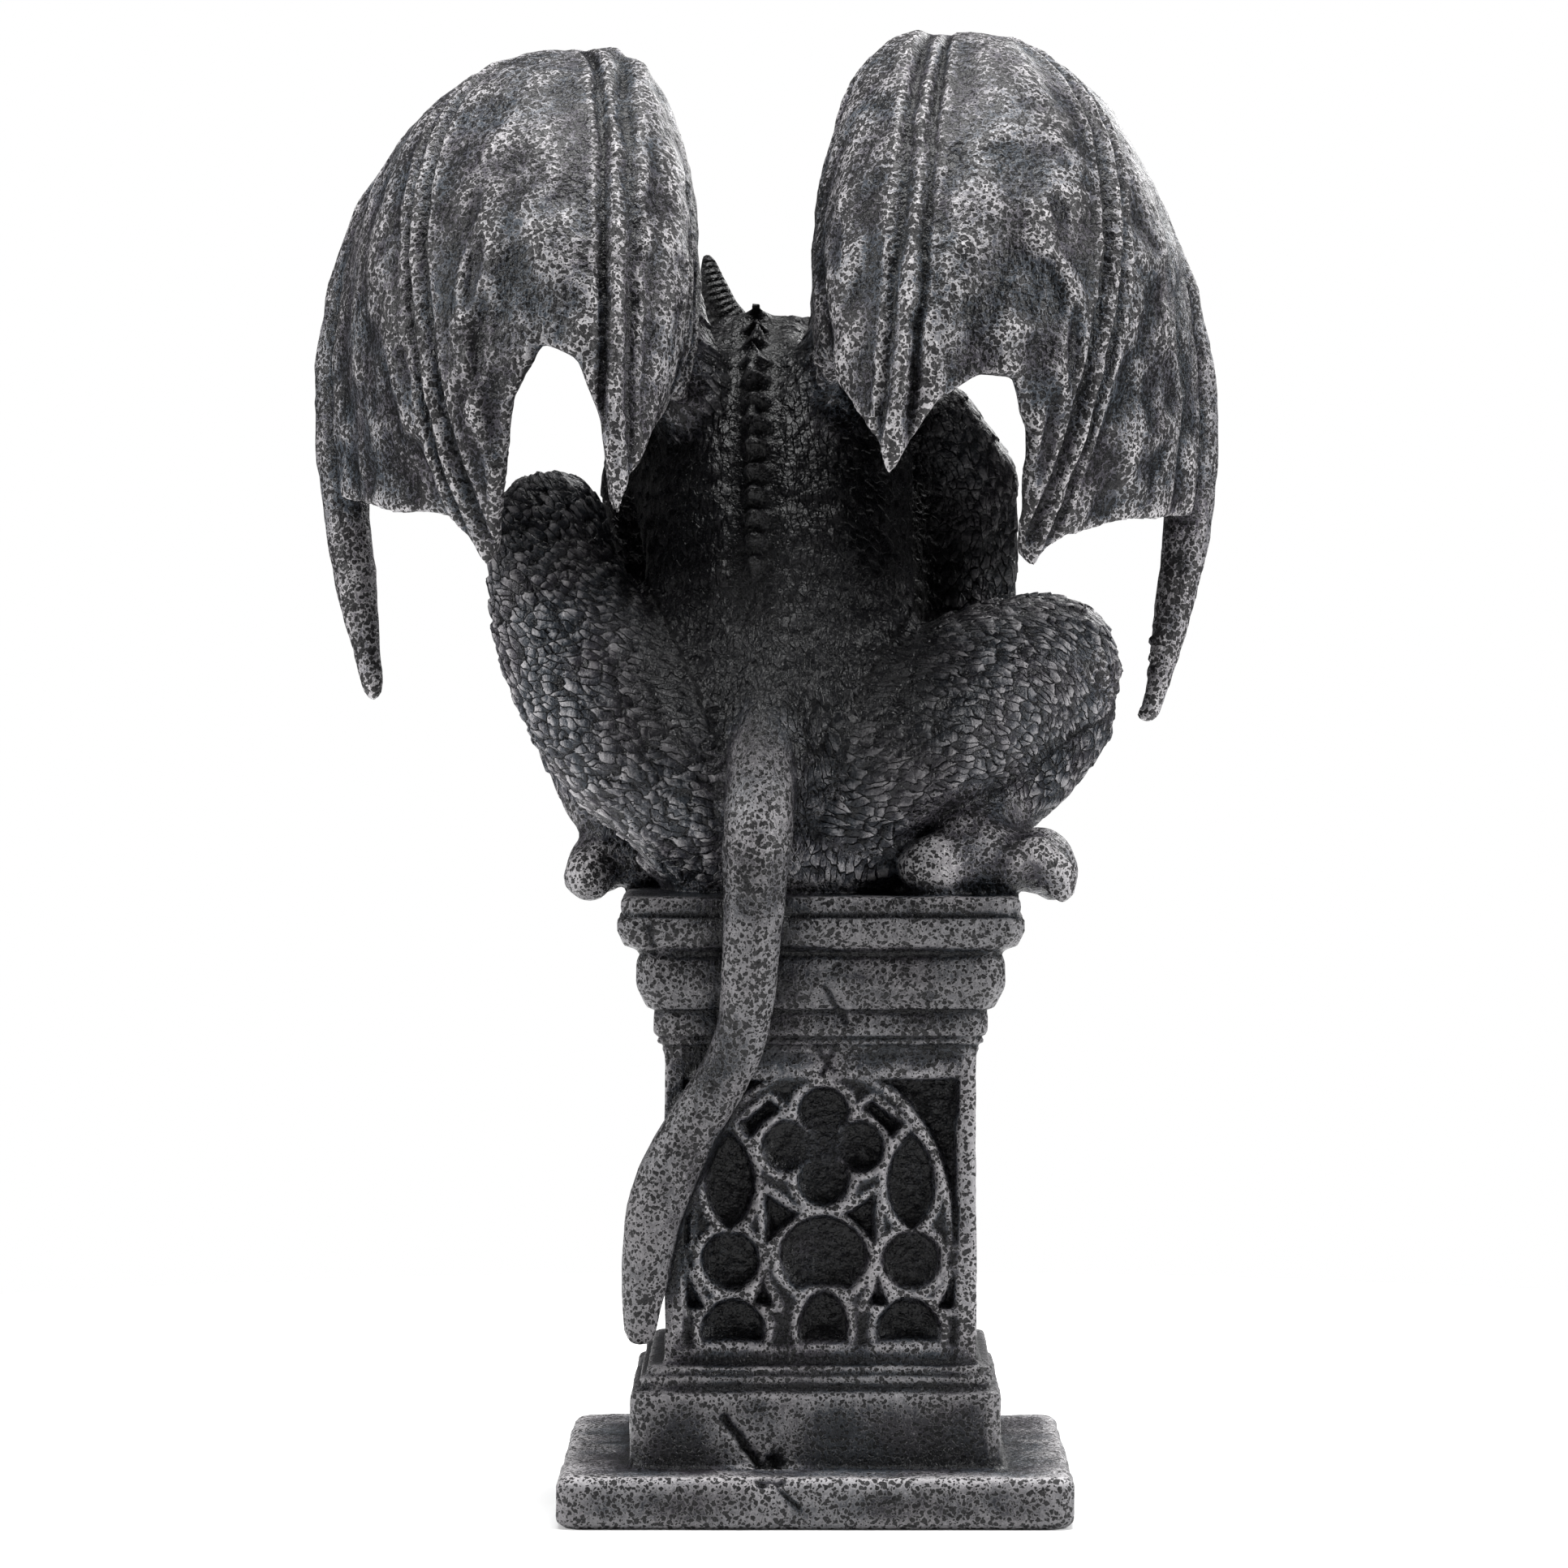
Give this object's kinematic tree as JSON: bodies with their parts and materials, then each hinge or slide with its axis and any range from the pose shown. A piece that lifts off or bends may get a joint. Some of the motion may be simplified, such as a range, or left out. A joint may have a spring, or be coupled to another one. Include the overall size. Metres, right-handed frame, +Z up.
{
  "type": "gargoyle statue",
  "caption": "Horned, winged gargoyle crouching on a square Gothic plinth with traceried faces, its tail hanging down the back: a cast resin garden or shelf statue.",
  "frame": {"origin": "middle of the plinth's underside, on the surface that it stands on", "axes": "+Z up, +Y the way that the gargoyle faces, +X its right as seen from behind"},
  "size_m": [0.1819, 0.1219, 0.2925],
  "materials": {
    "stone_grey_resin": "charcoal paint dry-brushed with slate grey on pitted cast resin, semi-gloss"
  },
  "bodies": {
    "root": {"gargoyle_statue": "stone_grey_resin"}
  },
  "joints": []
}
